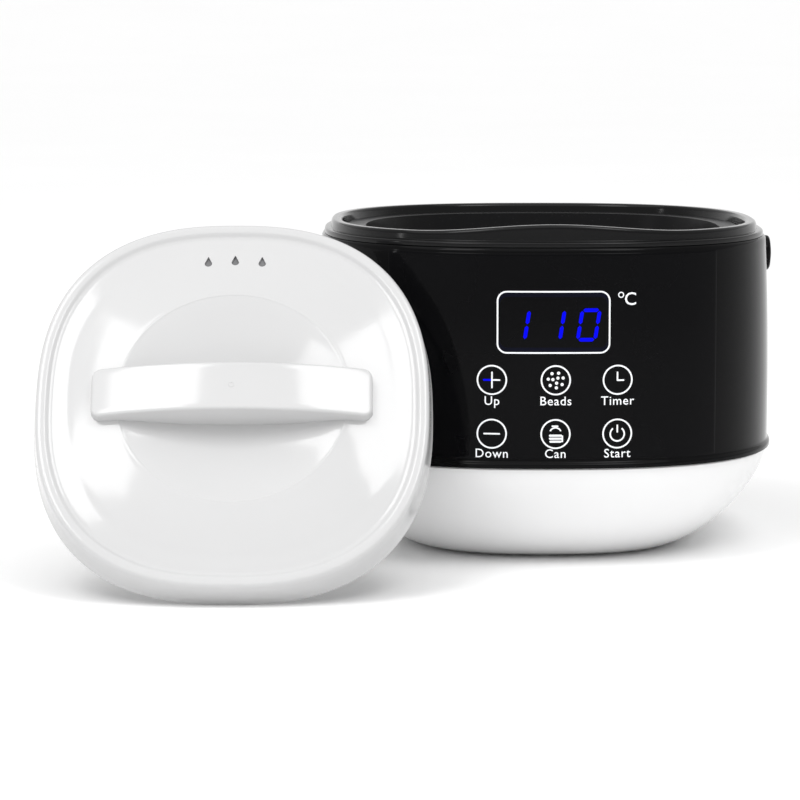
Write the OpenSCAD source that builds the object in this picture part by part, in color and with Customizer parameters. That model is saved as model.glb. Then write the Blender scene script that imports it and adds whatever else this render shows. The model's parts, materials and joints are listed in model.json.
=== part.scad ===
// Paraffin wax bath: rounded-square housing with a heated well, lift-out pot,
// fold-back carry handle and loose lid. Millimetres, +Z up, front towards -Y,
// origin on the table under the middle of the housing.

/* [Housing] */
// Width of the housing at the seam
body_w = 184.4; // [180:0.2:188]
// Depth of every rounded-square outline over its width
depth_ratio = 1.03; // [1:0.01:1.06]
// Exponent of the rounded-square outline
corner_power = 2.5; // [2.4:0.1:2.8]
// Height of the seam between the lower shell and the upper wrap
seam_z = 41; // [39:0.5:43]
// Height of the top of the upper wrap
shoulder_z = 125; // [124:0.5:126]
// Height of the rim ring's top
rim_z = 130.6; // [129:0.2:132]
// Rise of the rim at the middle of the front
rim_crown = 2.9; // [0:0.1:4]
// Wall of the moulded shells
wall = 2.6; // [2.2:0.1:3]

/* [Controls] */
// Width of the glossy front panel
panel_w = 126; // [116:1:130]
// Thickness of the front panel
panel_t = 1.5; // [1.2:0.1:1.8]
// Height of the middle of the display
display_z = 97; // [94:0.5:99]
// Heights of the two rows of touch keys
key_rows = [54.4, 75];
// Distance between two keys in a row
key_pitch = 23.9; // [22:0.1:25]

/* [Pot and well] */
// Half width of the pot's mouth
pot_mouth = 71.5; // [68:0.1:72]
// Half width of the pot's floor
pot_floor = 59; // [55:0.5:60]
// Height of the pot's inner floor
pot_floor_z = 51; // [49:0.5:55]
// Height of the ledge that the pot hangs on
ledge_z = 125.8; // [124.5:0.1:126]

/* [Lid] */
// Half width of the lid's open edge
lid_half = 74.6; // [73:0.1:75]
// Height of the lid's edge
lid_edge_h = 13; // [11:0.5:16]
// Height of the crest around the dish
lid_crest_h = 16.2; // [15:0.1:20]
// Radius of the dish
dish_r = 42.3; // [38:0.1:45]
// Depth of the dish
dish_depth = 4.6; // [3:0.1:6]
// Lean of the lid from upright, as it stands against the housing
lid_lean = 34; // [30:0.5:38]
// Place on the table of the middle of the lid's lower edge
lid_foot = [-121.2, -150.95];

/* [Hidden] */

$fn = 64;
// points round a rounded-square outline
SIDES = 64;
half_w = body_w / 2;
// glossy black, white and dark metal
BLACK = [0.02, 0.02, 0.025];
WHITE = [0.95, 0.95, 0.95];
DARK = [0.12, 0.12, 0.13];
STEEL = [0.7, 0.7, 0.72];

// heights at which the front stack is screwed, and its half spacing
stack_z = [50, 113];
stack_x = 34;
// planes of the front stack, counted back from the front of the housing
boss_start_y = [-87.5, -86.3];
board_front_y = -81.1;
board_t = 1.6;
display_depth = 9;
pad_l = [8.6, 10.6, 8.6];
shield_front_y = -77.8;
shield_t = 0.6;
// corner fixings between the lower shell and the wrap
corner_fix = 61.3;
corner_boss_h = 12;
corner_boss_low = 27;
corner_web = 4.4;
// inside and outside radii of the foot ring
foot_in = 37;
foot_out = 43;
// screws through the base pan
pan_fix = [32, 35];
// half width of the lower shell where it meets the table, and the roundness of its side
bowl_low = 50;
bowl_power = 1.5;
// screws that hang the well from the rim ring
well_fix = [58.4, 60.1];
// handle pivots
pivot_y = 13;
pivot_z = 114.8;
pin_r = 3;
// half widths of the inside and the outside of the handle's strap
strap_in = 91.3;
strap_out = 94.5;
// mains board
board_z = 15;
board_fix = [32, 23];
// inlet
inlet_z = 63;
inlet_w = 27;
inlet_h = 20;
inlet_face_y = 96;
inlet_back_y = 75;

// Point of a rounded square of half width a at angle t
function outline_point(t, a, power, ratio) =
  let (r = 1 / pow(pow(abs(cos(t)) / a, power) + pow(abs(sin(t)) / (a * ratio), power), 1 / power))
  [r * cos(t), r * sin(t)];

function outline(a, power = corner_power, ratio = depth_ratio) =
  [for (i = [0:SIDES - 1]) outline_point(i * 360 / SIDES, a, power, ratio)];

// Share of the front crown at x, which is full in the middle and 0 past 55 mm
function crown_at(x, y) = (y < 0 && abs(x) < 55) ? (1 + cos(180 * x / 55)) / 2 : 0;

// A profile entry is [half width, height], or [half width, height, power, ratio, crown].
function entry(e, k, usual) = len(e) > k ? e[k] : usual;

function loft_points(profile) = [
  for (e = profile, i = [0:SIDES - 1])
    let (p = outline_point(i * 360 / SIDES, e[0], entry(e, 2, corner_power), entry(e, 3, depth_ratio)))
    [p[0], p[1], e[1] + entry(e, 4, 0) * crown_at(p[0], p[1])]
];

function strip(j, k) = [
  for (i = [0:SIDES - 1])
    let (n = (i + 1) % SIDES, a = j * SIDES, b = k * SIDES)
    each [[a + i, b + i, b + n], [a + i, b + n, a + n]]
];

// Solid ring whose section is a closed profile
module loft_ring(profile) {
  rows = len(profile);
  polyhedron(loft_points(profile), [for (j = [0:rows - 1]) each strip(j, (j + 1) % rows)]);
}

// Solid whose profile starts and ends on the axis, at heights first and last
module loft_bowl(profile, first, last) {
  rows = len(profile);
  count = rows * SIDES;
  bottom = [for (i = [0:SIDES - 1]) [count, i, (i + 1) % SIDES]];
  top = [for (i = [0:SIDES - 1]) [count - SIDES + i, count + 1, count - SIDES + (i + 1) % SIDES]];
  walls = [for (j = [0:rows - 2]) each strip(j, j + 1)];
  points = concat(loft_points(profile), [[0, 0, first], [0, 0, last]]);
  polyhedron(points, concat(walls, bottom, top));
}

// Flat plate with a rounded-square outline
module slab(a, z, t) {
  translate([0, 0, z]) linear_extrude(t) polygon(outline(a));
}

module tube(r_out, r_in, h) {
  difference() {
    cylinder(r = r_out, h = h);
    translate([0, 0, -1]) cylinder(r = r_in, h = h + 2);
  }
}

// Pan-head screw pointing up, with its head's underside at z = 0
module screw(r, head_r, head_h, l) {
  translate([0, 0, -head_h]) cylinder(r = head_r, h = head_h, $fn = 32);
  cylinder(r = r, h = l, $fn = 32);
}

module at_corners(x, y) {
  for (sx = [-1, 1], sy = [-1, 1]) translate([sx * x, sy * y, 0]) children();
}

// ---- base ----

module foot_ring() {
  color(DARK) difference() {
    cylinder(r = foot_out, h = 2.6);
    translate([0, 0, -1]) cylinder(r = foot_in, h = 5);
  }
}

module base_pan() {
  color(BLACK) difference() {
    union() {
      slab(48.6, 1.6, 2.4);
      for (x = [-1, 1], y = [-1, 1]) translate([x * board_fix[0], y * board_fix[1], 3.9])
        cylinder(r = 3, h = board_z - 3.9);
    }
    translate([0, 0, 1]) tube(foot_out + 0.05, foot_in - 0.05, 1.6);
    at_corners(pan_fix[0], pan_fix[1]) translate([0, 0, 1]) cylinder(r = 1.7, h = 4);
    at_corners(pan_fix[0], pan_fix[1]) translate([0, 0, 1]) cylinder(r = 3.4, h = 1.9);
    for (x = [-1, 1], y = [-1, 1]) translate([x * board_fix[0], y * board_fix[1], 5])
      cylinder(r = 1.3, h = 12);
    for (i = [-3:3]) translate([i * 6 - 1, -14, 1]) cube([2, 28, 4]);
  }
}

module base_screws() {
  color(STEEL) at_corners(pan_fix[0], pan_fix[1]) translate([0, 0, 2.85]) screw(1.5, 3.1, 1.3, 9);
}

// Half width of the outside of the lower shell at height z
function bowl_half(z) =
  let (k = 1 - z / seam_z)
  bowl_low + (half_w - 1.4 - bowl_low) * pow(1 - pow(k, bowl_power), 1 / bowl_power);

module lower_shell() {
  top = seam_z - 0.1;
  steps = 9;
  outer = [for (i = [0:steps]) let (z = 1.2 + (top - 1.2) * i / steps) [bowl_half(z), z]];
  inner = [for (i = [steps:-1:1]) let (z = 4.4 + (top - 4.4) * i / steps) [bowl_half(z) - wall, z + 0.4]];
  tongue = [[half_w - 4.6, top], [half_w - 4.6, top + 5], [half_w - 6.6, top + 5], [half_w - 6.6, top - 6]];
  low = [for (e = inner) if (e[1] < top - 7) e];
  floor_in = [[50, 6.9], [42, 6.9], [42, 4.1], [48.9, 4.1], [48.9, 1.2]];
  color(WHITE) difference() {
    union() {
      loft_ring(concat(outer, tongue, low, floor_in));
      at_corners(pan_fix[0], pan_fix[1]) translate([0, 0, 6.5]) cylinder(r = 3.6, h = 7, $fn = 24);
      at_corners(corner_fix, corner_fix) translate([0, 0, corner_boss_low])
        cylinder(r = 4, h = top - corner_boss_low, $fn = 24);
    }
    at_corners(pan_fix[0], pan_fix[1]) translate([0, 0, 3]) cylinder(r = 1.55, h = 9.5, $fn = 24);
    at_corners(corner_fix, corner_fix) translate([0, 0, 34]) cylinder(r = 1.55, h = 10, $fn = 24);
  }
}

module shell_screws() {
  color(STEEL) at_corners(corner_fix, corner_fix) translate([0, 0, seam_z + corner_boss_h + 0.1])
    mirror([0, 0, 1]) screw(1.5, 3.2, 1.8, 18);
}

// ---- upper wrap and front ----

// Half width of the outside of the wrap, which leans in a little towards the top
function wrap_half(z) = 91.1 - 1.7 * pow((z - 60) / 65, 2);

module wrap_solid() {
  levels = [seam_z + 6, 60, 76, 92, 108, 118, shoulder_z - 1.2];
  outer = [for (z = levels) [z < 60 ? 91 : wrap_half(z), z]];
  lip = [[half_w, seam_z + 0.1], [half_w, seam_z + 1.6], [91.1, seam_z + 2.8]];
  shoulder = [[88.8, shoulder_z], [80.6, shoulder_z], [80.6, shoulder_z - 2.4], [86.4, shoulder_z - 2.4]];
  inner = [[87.2, 108], [88, 76], [88, seam_z + 0.1]];
  loft_ring(concat(lip, outer, shoulder, inner));
}

// Block that the front panel is cut from
module panel_block(w, grow) {
  translate([-w / 2, -100, seam_z + 3.4 - grow]) cube([w, 60, shoulder_z - seam_z - 5.4 + 2 * grow]);
}

module panel_skin(t) {
  levels = [seam_z, 60, 76, 92, 108, 118, shoulder_z];
  outer = [for (z = levels) [z < 60 ? 91.3 : wrap_half(z) + 0.2, z]];
  inner = [for (i = [len(levels) - 1:-1:0]) [outer[i][0] - 0.2 - t, levels[i]]];
  loft_ring(concat(outer, inner));
}

module upper_wrap() {
  color(BLACK) difference() {
    union() {
      difference() {
        wrap_solid();
        intersection() {
          panel_skin(panel_t + 0.05);
          panel_block(panel_w + 0.2, 0.1);
        }
        translate([-20, -100, display_z - 11]) cube([40, 20, 22]);
        translate([-33, -100, 46]) cube([66, 20, 38]);
        translate([-14.2, 80, inlet_z - 10.7]) cube([28.4, 20, 21.4]);
      }
      for (x = [-1, 1], i = [0, 1]) translate([x * stack_x, boss_start_y[i], stack_z[i]])
        rotate([-90, 0, 0]) cylinder(r = 3.4, h = board_front_y - boss_start_y[i], $fn = 24);
      at_corners(corner_fix, corner_fix) translate([0, 0, seam_z + 0.1]) cylinder(r = 4, h = corner_boss_h, $fn = 24);
      at_corners(corner_fix + corner_web, corner_fix + corner_web) translate([0, 0, seam_z + 6.2])
        cylinder(r = 4.4, h = corner_boss_h - 6.1, $fn = 24);
    }
    for (x = [-1, 1], i = [0, 1]) translate([x * stack_x, boss_start_y[i] + 1.2, stack_z[i]])
      rotate([-90, 0, 0]) cylinder(r = 1.3, h = 10, $fn = 24);
    at_corners(corner_fix, corner_fix) translate([0, 0, seam_z - 1]) cylinder(r = 1.7, h = 20, $fn = 24);
    for (s = [-1, 1]) translate([s * 80, pivot_y, pivot_z]) rotate([0, s * 90, 0])
      cylinder(r = pin_r + 0.05, h = 14, $fn = 32);
  }
}

module control_panel() {
  color([0.01, 0.01, 0.015]) intersection() {
    panel_skin(panel_t);
    panel_block(panel_w, 0);
  }
}

module display_module() {
  color([0.05, 0.05, 0.08]) translate([-18.8, board_front_y - display_depth, display_z - 9.5])
    cube([37.6, display_depth, 19]);
}

module control_board() {
  color([0.05, 0.25, 0.12]) difference() {
    translate([-39, board_front_y, 44.5]) cube([78, board_t, 72]);
    for (x = [-1, 1], z = stack_z) translate([x * stack_x, board_front_y - 1, z]) rotate([-90, 0, 0])
      cylinder(r = 1.7, h = 5, $fn = 32);
  }
}

module touch_pads() {
  color([0.2, 0.2, 0.2]) for (i = [0, 1, 2], z = key_rows)
    translate([(i - 1) * key_pitch, board_front_y - pad_l[i], z]) rotate([-90, 0, 0])
      cylinder(r = 4, h = pad_l[i]);
}

module board_spacers() {
  color(WHITE) for (x = [-1, 1], z = stack_z)
    translate([x * stack_x, board_front_y + board_t, z]) rotate([-90, 0, 0])
      tube(3, 1.7, shield_front_y - board_front_y - board_t);
}

module board_screws() {
  color(STEEL) for (x = [-1, 1], z = stack_z)
    translate([x * stack_x, shield_front_y + shield_t, z]) rotate([90, 0, 0]) screw(1.25, 2.7, 1.4, 7.4);
}

module heat_shield() {
  color(STEEL) difference() {
    translate([-42, shield_front_y, 43.5]) cube([84, shield_t, 74]);
    for (x = [-1, 1], z = stack_z) translate([x * stack_x, shield_front_y - 1, z]) rotate([-90, 0, 0])
      cylinder(r = 1.7, h = 3, $fn = 32);
  }
}

// ---- rim, well and heater ----

module rim_ring() {
  band = [[88.4, shoulder_z + 0.05], [88.4, shoulder_z + 1.6], [87.8, shoulder_z + 2.1], [85.9, shoulder_z + 2.3]];
  top = [
    [85.6, rim_z - 0.9, corner_power, depth_ratio, rim_crown],
    [84.9, rim_z, corner_power, depth_ratio, rim_crown],
    [82, rim_z, corner_power, depth_ratio, rim_crown],
    [81.2, rim_z - 0.8, corner_power, depth_ratio, rim_crown]
  ];
  seat = [[80.5, ledge_z], [73.4, ledge_z], [73.4, ledge_z - 2.2], [80.2, ledge_z - 2.2], [80.2, shoulder_z + 0.05]];
  color(BLACK) difference() {
    loft_ring(concat(band, top, seat));
    at_corners(well_fix[0], well_fix[1]) translate([0, 0, ledge_z - 4]) cylinder(r = 1.3, h = 3.4, $fn = 24);
  }
}

module well_screws() {
  color(STEEL) at_corners(well_fix[0], well_fix[1]) translate([0, 0, ledge_z - 3.45]) screw(1.25, 2.4, 1.3, 2.6);
}

// Half width of the pot's inside at height z
function pot_half(z) = pot_floor + (pot_mouth - pot_floor) * (z - pot_floor_z) / (ledge_z - pot_floor_z);

// Bowl with a straight tapered side and a rounded floor corner, grown outwards by grow
function bowl_profile(grow, low, top) = [
  [pot_floor - 12 + grow * 0.4, low],
  [pot_floor - 5.5 + grow * 0.7, low + 1.4],
  [pot_floor - 1.2 + grow * 0.9, low + 5],
  [pot_half(low + 12) + grow, low + 12],
  [pot_half(top) + grow, top]
];

function turned(list) = [for (i = [len(list) - 1:-1:0]) list[i]];

module heating_well() {
  flange_z = ledge_z - 2.2 - 1.25;
  outer = bowl_profile(3.2, pot_floor_z - 3.6, flange_z);
  inner = bowl_profile(2.2, pot_floor_z - 2.6, flange_z + 1.2);
  flange = [[79, flange_z], [79, flange_z + 1.2]];
  color([0.75, 0.75, 0.77]) difference() {
    loft_bowl(concat(outer, flange, turned(inner)), pot_floor_z - 3.6, pot_floor_z - 2.6);
    at_corners(well_fix[0], well_fix[1]) translate([0, 0, flange_z - 1]) cylinder(r = 1.5, h = 4, $fn = 24);
  }
}

module heating_element() {
  ring_z = pot_floor_z - 3.6 - 3.6;
  color([0.45, 0.4, 0.38]) {
    translate([0, 0, ring_z]) rotate_extrude() translate([34, 0]) circle(r = 3.5);
    for (x = [-9, 9]) translate([x, -32.8, ring_z - 9]) cylinder(r = 1.6, h = 9);
  }
}

module element_leads() {
  color([0.75, 0.2, 0.15]) for (x = [-9, 9]) translate([x, -32.8, board_z + 5.1])
    cylinder(r = 1.1, h = pot_floor_z - 16.2 - board_z - 5.1);
}

module insulation_band() {
  low = 64;
  high = 96;
  color([0.85, 0.83, 0.75]) loft_ring([
    [pot_half(low) + 3.4, low], [pot_half(low) + 6, low],
    [pot_half(high) + 6, high], [pot_half(high) + 3.4, high],
    [pot_half(high) + 3.4, high - 0.5]
  ]);
}

module temperature_sensor() {
  color(STEEL) translate([14, 0, pot_floor_z - 3.65 - 5]) cylinder(r = 3, h = 5);
}

module thermal_fuse() {
  color(WHITE) translate([-20, -9, pot_floor_z - 3.65 - 2.2]) rotate([-90, 0, 0]) cylinder(r = 2.2, h = 18);
}

// Sheet clips that hold the sensor and the fuse against the well's floor
module sensor_clips() {
  under = pot_floor_z - 3.65;
  color([0.8, 0.78, 0.7]) {
    difference() {
      translate([6, -5, under - 6.2]) cube([16, 10, 1.2]);
      translate([14, 0, under - 8]) cylinder(r = 1.2, h = 4);
    }
    translate([6, -5, under - 6.2]) cube([1.2, 10, 6.2]);
    translate([20.8, -5, under - 6.2]) cube([1.2, 10, 6.2]);
    translate([-25, -4, under - 5.6]) cube([10, 8, 1.2]);
    translate([-25, -4, under - 5.6]) cube([1.2, 8, 5.6]);
    translate([-16.2, -4, under - 5.6]) cube([1.2, 8, 5.6]);
  }
}

// ---- mains electronics ----

module power_board() {
  color([0.35, 0.25, 0.08]) difference() {
    translate([-38, -37, board_z]) cube([76, 65, 1.6]);
    for (x = [-1, 1], y = [-1, 1]) translate([x * board_fix[0], y * board_fix[1], board_z - 1])
      cylinder(r = 1.5, h = 4, $fn = 32);
  }
}

module relay() {
  color([0.1, 0.3, 0.6]) translate([-26, 2, board_z + 1.6]) cube([15.5, 19, 15]);
}

module capacitors() {
  color([0.1, 0.1, 0.12]) {
    translate([14, 12, board_z + 1.6]) cylinder(r = 5, h = 13);
    translate([27, 10, board_z + 1.6]) cylinder(r = 4, h = 11);
  }
}

module terminal_block() {
  color([0.2, 0.5, 0.3]) difference() {
    translate([-14, -36.8, board_z + 1.6]) cube([28, 9, 7.6]);
    for (x = [-9, 9]) translate([x, -32.8, board_z + 5]) cylinder(r = 2, h = 6);
  }
}

module power_board_screws() {
  color(STEEL) for (x = [-1, 1], y = [-1, 1])
    translate([x * board_fix[0], y * board_fix[1], board_z + 1.6]) mirror([0, 0, 1]) screw(1.2, 2.6, 1.3, 7);
}

// ---- inlet at the back ----

// Outline of the plug face, with its two upper corners cut
module inlet_shape(w, h, cut) {
  polygon([
    [-w / 2, -h / 2], [w / 2, -h / 2], [w / 2, h / 2 - cut],
    [w / 2 - cut, h / 2], [cut - w / 2, h / 2], [-w / 2, h / 2 - cut]
  ]);
}

// The three blades, grown by grow for the slots that hold them
module inlet_blades(grow) {
  for (p = [[-7, -1.9], [7, -1.9], [0, 2.1]])
    translate([p[0] - 1 - grow, inlet_back_y - 4, inlet_z + p[1] - 2 - grow]) cube([2 + 2 * grow, 19.6, 4 + 2 * grow]);
}

module power_inlet() {
  color(DARK) difference() {
    union() {
      translate([-inlet_w / 2, inlet_back_y, inlet_z - inlet_h / 2])
        cube([inlet_w, inlet_face_y - inlet_back_y, inlet_h]);
      translate([-17, inlet_face_y - 2.2, inlet_z - 13.2]) cube([34, 2.2, 26.4]);
    }
    translate([0, inlet_face_y + 1, inlet_z]) rotate([90, 0, 0]) linear_extrude(17) inlet_shape(24, 16.4, 4.5);
    inlet_blades(0.05);
  }
}

module inlet_pins() {
  color(STEEL) inlet_blades(0);
}

// ---- carry handle ----

// Pin that is held inside the wrap and carries the handle outside it, along +X
module handle_pin() {
  translate([strap_in - 7.1, pivot_y, pivot_z]) rotate([0, 90, 0]) cylinder(r = 5, h = 1.6);
  translate([strap_in - 6.3, pivot_y, pivot_z]) rotate([0, 90, 0]) cylinder(r = pin_r, h = 8.2);
  translate([strap_in + 1.3, pivot_y, pivot_z]) rotate([0, 90, 0]) cylinder(r = 4.2, h = 0.8);
}

module handle_pins() {
  color(STEEL) {
    handle_pin();
    mirror([1, 0, 0]) handle_pin();
  }
}

// Strap that follows the back of the housing, with a round eye at each end
module carry_handle() {
  strap_h = 11;
  eye_r = 7.2;
  color(BLACK) difference() {
    union() {
      translate([0, 0, pivot_z - strap_h / 2]) linear_extrude(strap_h) difference() {
        polygon(outline(strap_out));
        polygon(outline(strap_in));
        translate([-120, -120]) square([240, 120 + pivot_y]);
      }
      for (s = [-1, 1]) translate([s * strap_in, pivot_y, pivot_z]) rotate([0, s * 90, 0])
        cylinder(r = eye_r, h = strap_out - strap_in);
    }
    for (s = [-1, 1]) translate([s * (strap_in - 3), pivot_y, pivot_z]) rotate([0, s * 90, 0])
      cylinder(r = pin_r + 0.05, h = 10);
    for (s = [-1, 1]) translate([s * (strap_in + 1.2), pivot_y, pivot_z]) rotate([0, s * 90, 0])
      cylinder(r = 5.6, h = 10);
  }
}

// Domed cover over each pin
module pivot_caps() {
  color(BLACK) for (s = [-1, 1]) translate([s * (strap_in + 2.2), pivot_y, pivot_z]) rotate([0, s * 90, 0])
    intersection() {
      cylinder(r = 5.5, h = 3);
      translate([0, 0, -10.3]) sphere(r = 12);
    }
}

// ---- pot ----

module inner_pot() {
  outer = bowl_profile(1.2, pot_floor_z - 1.2, ledge_z + 0.1);
  inner = bowl_profile(0, pot_floor_z, ledge_z + 1.2);
  lip = [[79.6, ledge_z + 0.1], [79.9, ledge_z + 0.7], [79.6, ledge_z + 1.3], [pot_mouth + 1, ledge_z + 1.3]];
  color([0.06, 0.06, 0.07]) loft_bowl(concat(outer, lip, turned(inner)), pot_floor_z - 1.2, pot_floor_z);
}

// ---- lid, drawn flat with its open edge at z = 0, then leaned on the housing ----

module as_leaned() {
  lift = lid_half * depth_ratio;
  translate([lid_foot[0], lid_foot[1], 0]) rotate([90 - lid_lean, 0, 0]) translate([0, lift, 0]) children();
}

// Height of the outside of the dish at distance r from its middle
function dish_z(r) = lid_crest_h - dish_depth + dish_depth * pow(r / dish_r, 2);

module lid_body() {
  skirt = [
    [lid_half, 0], [lid_half - 0.5, 2.4], [lid_half - 0.9, 5.4], [lid_half - 1.2, 9],
    [lid_half - 1.5, lid_edge_h - 1.6], [lid_half - 2.1, lid_edge_h - 0.4]
  ];
  bead = [
    [lid_half - 3.1, lid_edge_h], [lid_half - 5.2, lid_edge_h - 0.1], [lid_half - 6.4, lid_edge_h - 0.9],
    [lid_half - 7.9, lid_edge_h - 1.2]
  ];
  crest = [
    [58, 13.4, 2.4, 1.025], [51, 14.9, 2.25, 1.015], [45, 15.9, 2.1, 1.005], [43.2, lid_crest_h, 2, 1],
    [dish_r, lid_crest_h - 0.25, 2, 1]
  ];
  dish = [for (r = [36, 27, 17, 7]) [r, dish_z(r), 2, 1]];
  under = [for (r = [7, 17, 27, 36]) [r, dish_z(r) - wall, 2, 1]];
  inside = [
    [44, 13.3, 2.05, 1.005], [52, 12, 2.3, 1.015], [59, 10.4, 2.4, 1.025], [65, 9.6],
    [lid_half - 5.6, 8.6], [lid_half - 4.4, 6.6], [lid_half - 2.9, 2.4], [lid_half - 2.2, 0]
  ];
  loft_bowl_down(concat(skirt, bead, crest, dish), concat(under, inside));
}

// Shell that is closed by two surfaces which both reach the axis at the top
module loft_bowl_down(outside, inside) {
  loft_bowl(concat(inside, outside), dish_z(0) - wall, dish_z(0));
}

module drop(h) {
  r = 1.4;
  linear_extrude(h) union() {
    circle(r = r, $fn = 16);
    polygon([[-r * 0.9, 0.6], [0, 3.4], [r * 0.9, 0.6]]);
  }
}

vent_y = 57.5;
vent_pitch = 10.2;
screw_x = 30;

module lid_shell() {
  color(WHITE) as_leaned() difference() {
    lid_body();
    for (x = [-1, 0, 1]) translate([x * vent_pitch, vent_y + (x == 0 ? 0.6 : 0), 5]) drop(15);
    for (x = [-screw_x, screw_x]) translate([x, 0, 5]) cylinder(r = 1.7, h = 15, $fn = 24);
  }
}

bar_half_l = 52;
bar_half_w = 9.7;
bar_end_h = 19.2;
bar_mid_h = 25.8;

// Side view of the bar: bowed top, and an underside that follows the dish
module bar_side(inset) {
  low = 0.35;
  top = [for (i = [0:12]) let (x = bar_half_l - inset - i * (bar_half_l - inset) / 6)
    [x, bar_mid_h - inset - (bar_mid_h - bar_end_h) * pow(x / bar_half_l, 2)]];
  under = [for (i = [0:8]) let (x = -dish_r + i * dish_r / 4) [x, dish_z(abs(x)) + low - inset]];
  polygon(concat(top, [[inset - bar_half_l, 15 - inset]], under, [[bar_half_l - inset, 15 - inset]]));
}

module bar_plan(inset) {
  r = 3.5 - inset / 2;
  for (x = [-1, 1], y = [-1, 1])
    translate([x * (bar_half_l - inset - r), y * (bar_half_w - inset - r)]) circle(r = r, $fn = 24);
  square([2 * (bar_half_l - inset - r), 2 * (bar_half_w - inset)], center = true);
  square([2 * (bar_half_l - inset), 2 * (bar_half_w - inset - r)], center = true);
}

module bar_solid(inset) {
  intersection() {
    translate([0, 20, 0]) rotate([90, 0, 0]) linear_extrude(40) bar_side(inset);
    linear_extrude(40) bar_plan(inset);
  }
}

module lid_handle() {
  color(WHITE) as_leaned() difference() {
    union() {
      difference() {
        bar_solid(0);
        bar_solid(2.4);
      }
      for (x = [-screw_x, screw_x]) intersection() {
        bar_solid(0);
        translate([x, 0, 5]) cylinder(r = 4, h = 30, $fn = 32);
      }
    }
    for (x = [-screw_x, screw_x]) translate([x, 0, 5]) cylinder(r = 1.3, h = 16, $fn = 32);
  }
}

module lid_screws() {
  head_r = 3;
  seat = dish_z(screw_x - head_r) - wall - 0.05;
  color(STEEL) as_leaned() for (x = [-screw_x, screw_x]) translate([x, 0, seat]) screw(1.25, head_r, 1.5, 8);
}

foot_ring();
base_pan();
base_screws();
lower_shell();
shell_screws();
upper_wrap();
control_panel();
display_module();
control_board();
touch_pads();
board_spacers();
board_screws();
heat_shield();
rim_ring();
well_screws();
heating_well();
heating_element();
element_leads();
insulation_band();
temperature_sensor();
thermal_fuse();
sensor_clips();
power_board();
relay();
capacitors();
terminal_block();
power_board_screws();
power_inlet();
inlet_pins();
handle_pins();
carry_handle();
pivot_caps();
inner_pot();
lid_shell();
lid_handle();
lid_screws();
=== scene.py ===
import json
import math

import bmesh
import bpy
from mathutils import Matrix, Vector


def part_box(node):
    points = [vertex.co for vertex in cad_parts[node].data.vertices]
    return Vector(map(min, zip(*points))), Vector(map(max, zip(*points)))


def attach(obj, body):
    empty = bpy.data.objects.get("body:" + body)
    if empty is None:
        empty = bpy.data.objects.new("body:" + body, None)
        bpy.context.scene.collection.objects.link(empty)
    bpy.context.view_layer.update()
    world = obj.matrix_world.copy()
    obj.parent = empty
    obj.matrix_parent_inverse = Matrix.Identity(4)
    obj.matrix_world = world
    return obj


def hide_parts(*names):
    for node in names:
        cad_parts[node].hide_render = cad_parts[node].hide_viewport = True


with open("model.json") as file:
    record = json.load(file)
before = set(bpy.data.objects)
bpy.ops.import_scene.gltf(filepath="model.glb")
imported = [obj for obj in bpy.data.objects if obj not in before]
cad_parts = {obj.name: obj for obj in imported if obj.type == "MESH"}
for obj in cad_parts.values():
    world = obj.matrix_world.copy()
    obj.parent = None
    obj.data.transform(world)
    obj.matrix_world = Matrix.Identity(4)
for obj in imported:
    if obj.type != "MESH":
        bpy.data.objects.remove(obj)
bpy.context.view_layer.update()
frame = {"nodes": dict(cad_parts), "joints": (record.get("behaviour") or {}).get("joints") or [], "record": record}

MM = 0.001
scene = bpy.context.scene

# ---------------------------------------------------------------- camera, in mm and degrees
CAMERA_AT = (-70.9, -1249.3, 217.6)
CAMERA_PITCH = 7.4
CAMERA_HEADING = 0.6
CAMERA_LENS = 138.2


def make_camera():
    data = bpy.data.cameras.new("camera")
    data.lens = CAMERA_LENS
    data.sensor_width = 36
    data.clip_start = 0.05
    data.clip_end = 400
    cam = bpy.data.objects.new("camera", data)
    cam.location = Vector(CAMERA_AT) * MM
    cam.rotation_euler = (math.radians(90 - CAMERA_PITCH), 0, math.radians(-CAMERA_HEADING))
    scene.collection.objects.link(cam)
    scene.camera = cam


make_camera()

# ---------------------------------------------------------------- driving dimensions
POWER = 2.5  # squareness of the outlines: 2 is an ellipse
RATIO = 1.03  # depth of the housing over its width
ROUND = 256  # points round each outline
WALL = 2.6
TONGUE = 4.9  # height of the lower shell's tongue above the seam
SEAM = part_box("lower_shell")[1].z / MM - TONGUE
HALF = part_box("upper_wrap")[1].x / MM
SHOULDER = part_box("upper_wrap")[1].z / MM
LEDGE = SHOULDER + 0.8  # where the pot's lip rests
RIM_TOP = SHOULDER + 5.6
CROWN = 2.9  # rise in the middle of the rim's near side
CROWN_X = 55.0
HINGE = [v / MM for v in frame["joints"][0]["pos_m"]]
LEAN = math.asin(frame["joints"][2]["axis"][2])  # the lid's, from flat to upright
SHARP_ANGLE = 32
CAD_SHARP_ANGLE = 30
WELD = 1e-5
LARGEST_SHARE = 0.45  # of a side, that a rounding takes up


# ---------------------------------------------------------------- outlines and profiles
def superellipse(t, a, power, ratio):
    c = math.cos(t)
    s = math.sin(t)
    r = 1 / (abs(c / a) ** power + abs(s / (a * ratio)) ** power) ** (1 / power)
    return r * c, r * s


def corner(half, z, rounding=0.0, crown=0.0, power=POWER, ratio=RATIO):
    """One entry of a profile: the outline's half width at height z, and how its corner is rounded."""
    return [half, z, power, ratio, crown, rounding]


def round_corner(r, z, rounding=0.0):
    """A profile entry on a true circle."""
    return corner(r, z, rounding, power=2, ratio=1)


def mix(p, q, t):
    return [u + (v - u) * t for u, v in zip(p, q)]


def towards(p, q, reach):
    """The entry that lies reach mm from p on the way to q."""
    return mix(p, q, min(LARGEST_SHARE, reach / math.dist(p[:2], q[:2])))


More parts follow.
